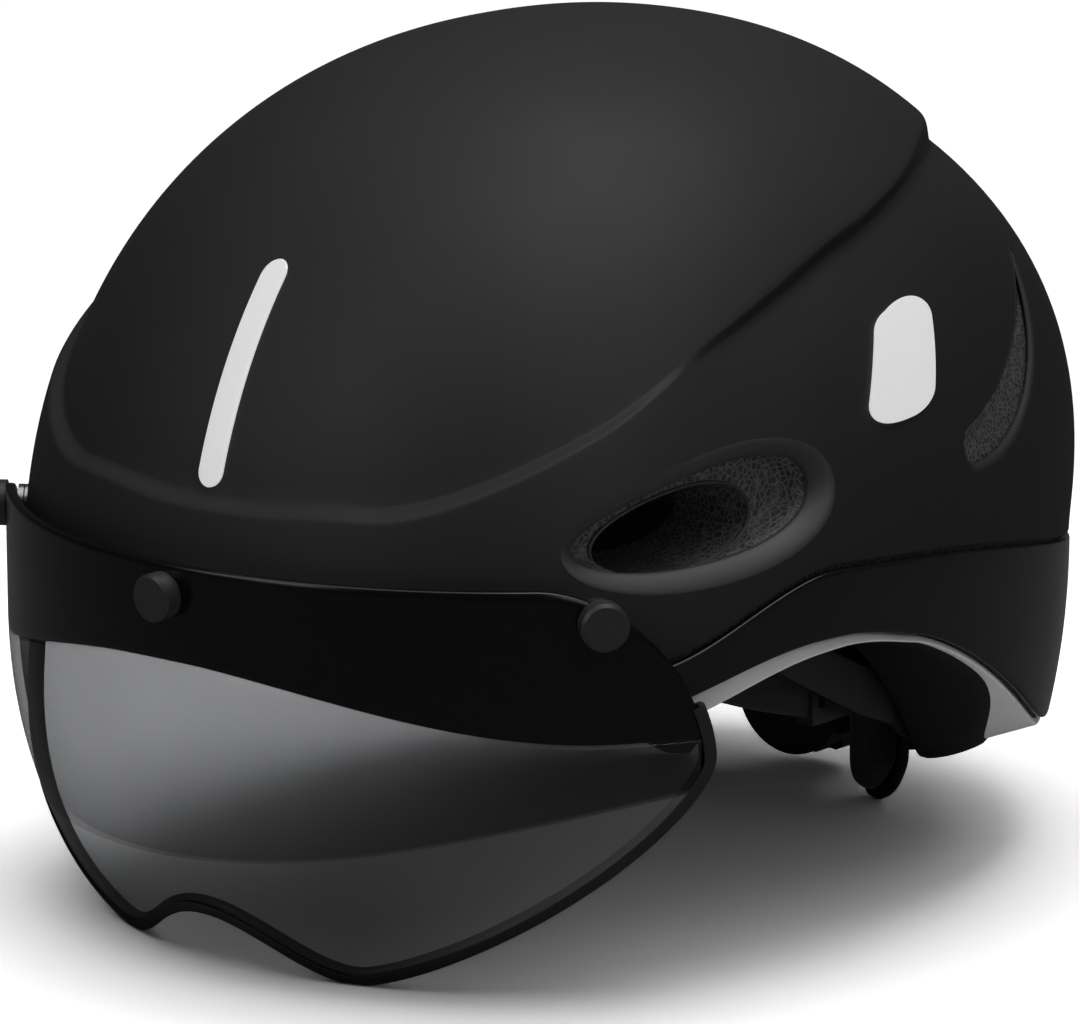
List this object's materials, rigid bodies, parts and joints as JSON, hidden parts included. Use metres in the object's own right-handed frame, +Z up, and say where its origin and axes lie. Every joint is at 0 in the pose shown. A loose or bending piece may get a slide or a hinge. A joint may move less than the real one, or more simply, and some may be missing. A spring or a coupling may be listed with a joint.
{
  "type": "bicycle helmet",
  "caption": "Urban bicycle helmet with side vents, a magnetic smoke visor that wraps round the face, and a dial-adjusted fit cradle.",
  "frame": {"origin": "on the table under the middle of the helmet's bounding box", "axes": "+X to the wearer's left, +Y to the back of the head, +Z up; the helmet stands on the visor's lower lobes and on the cradle's two wings"},
  "size_m": [0.2196, 0.2821, 0.2055],
  "materials": {
    "matte_shell": "soft-touch matte, fine grain",
    "gloss_trim": "glossy moulded edge",
    "grey_underside": "satin light grey",
    "foam": "moulded foam with a fine bead texture",
    "vent_plastic": "satin moulded",
    "reflector": "retroreflective film, plain",
    "magnet_steel": "plated",
    "pad_fabric": "knitted cover over foam, sewn edge",
    "cradle_plastic": "satin moulded",
    "dial_plastic": "satin moulded with finger scallops",
    "gear_plastic": "moulded, natural grey",
    "wing_gloss": "glossy moulded",
    "webbing": "woven nylon webbing",
    "strap_plastic": "moulded acetal",
    "pin_steel": "ground",
    "button_red": "moulded",
    "band_plastic": "opaque dark band, satin",
    "smoke_lens": "smoke-tinted clear sheet, glossy",
    "soft_trim": "soft moulded edge",
    "cap_plastic": "satin turned cap"
  },
  "bodies": {
    "helmet": {"outer_shell": "matte_shell", "lower_trim": "gloss_trim", "base_ring": "grey_underside", "eps_liner": "foam", "vent_cup_left": "vent_plastic", "vent_cup_right": "vent_plastic", "front_stripe": "reflector", "side_film_left": "reflector", "side_film_right": "reflector", "shell_magnets": "magnet_steel", "forehead_pad": "pad_fabric", "crown_pad": "pad_fabric", "crown_side_pad_left": "pad_fabric", "crown_side_pad_right": "pad_fabric", "height_rail": "cradle_plastic", "temple_pin_left": "cradle_plastic", "temple_pin_right": "cradle_plastic", "strap_plugs": "cradle_plastic", "front_webbing_left": "webbing", "front_webbing_right": "webbing", "rear_webbing_left": "webbing", "rear_webbing_right": "webbing", "chin_webbing_left": "webbing", "chin_webbing_right": "webbing", "divider_left": "strap_plastic", "divider_right": "strap_plastic", "divider_pin_left": "pin_steel", "divider_pin_right": "pin_steel", "buckle_socket": "strap_plastic", "buckle_tongue": "strap_plastic"},
    "visor": {"visor_band": "band_plastic", "visor_lens": "smoke_lens", "visor_trim": "soft_trim", "magnet_cap_left": "cap_plastic", "magnet_cap_middle": "cap_plastic", "magnet_cap_right": "cap_plastic", "visor_magnets": "magnet_steel"},
    "cradle": {"cradle_yoke": "cradle_plastic", "housing_cover": "cradle_plastic"},
    "dial": {"dial_knob": "dial_plastic", "dial_pinion": "gear_plastic"},
    "arm_left": {"arm_left": "cradle_plastic", "wing_left": "wing_gloss", "wing_pad_left": "pad_fabric"},
    "arm_right": {"arm_right": "cradle_plastic", "wing_right": "wing_gloss", "wing_pad_right": "pad_fabric"},
    "lever_left": {"divider_lever_left": "strap_plastic"},
    "lever_right": {"divider_lever_right": "strap_plastic"},
    "buckle_button": {"buckle_button": "button_red"}
  },
  "joints": [
    {"name": "visor_pull", "type": "slide", "parent": "helmet", "child": "visor", "axis": [0, -1, 0], "range_m": [0, 0.04]},
    {"name": "cradle_height", "type": "hinge", "parent": "helmet", "child": "cradle", "pos_m": [0, -0.038, 0.084], "axis": [-1, 0, 0], "range_deg": [0, 6]},
    {"name": "dial_spin", "type": "hinge", "parent": "cradle", "child": "dial", "pos_m": [0, 0.1, 0.021], "axis": [0, -1, 0], "range_deg": [0, 65.7]},
    {"name": "arm_left_slide", "type": "slide", "parent": "cradle", "child": "arm_left", "axis": [-1, 0, 0], "range_m": [0, 0.0055]},
    {"name": "arm_right_slide", "type": "slide", "parent": "cradle", "child": "arm_right", "axis": [1, 0, 0], "range_m": [0, 0.0055]},
    {"name": "divider_lever_left_turn", "type": "hinge", "parent": "helmet", "child": "lever_left", "pos_m": [0.0572, 0.0412, 0.0495], "axis": [0, 0, -1], "range_deg": [0, 80]},
    {"name": "divider_lever_right_turn", "type": "hinge", "parent": "helmet", "child": "lever_right", "pos_m": [-0.0572, 0.0412, 0.0495], "axis": [0, 0, 1], "range_deg": [0, 80]},
    {"name": "buckle_press", "type": "slide", "parent": "helmet", "child": "buckle_button", "axis": [0, 1, 0], "range_m": [0, 0.0018], "stiffness_N_per_m": 400, "springref_m": -0.002}
  ],
  "couplings": [
    {"joint": "dial_spin", "follows": "arm_left_slide", "rad_per_m": 208.33},
    {"joint": "arm_right_slide", "follows": "arm_left_slide", "ratio": 1}
  ]
}
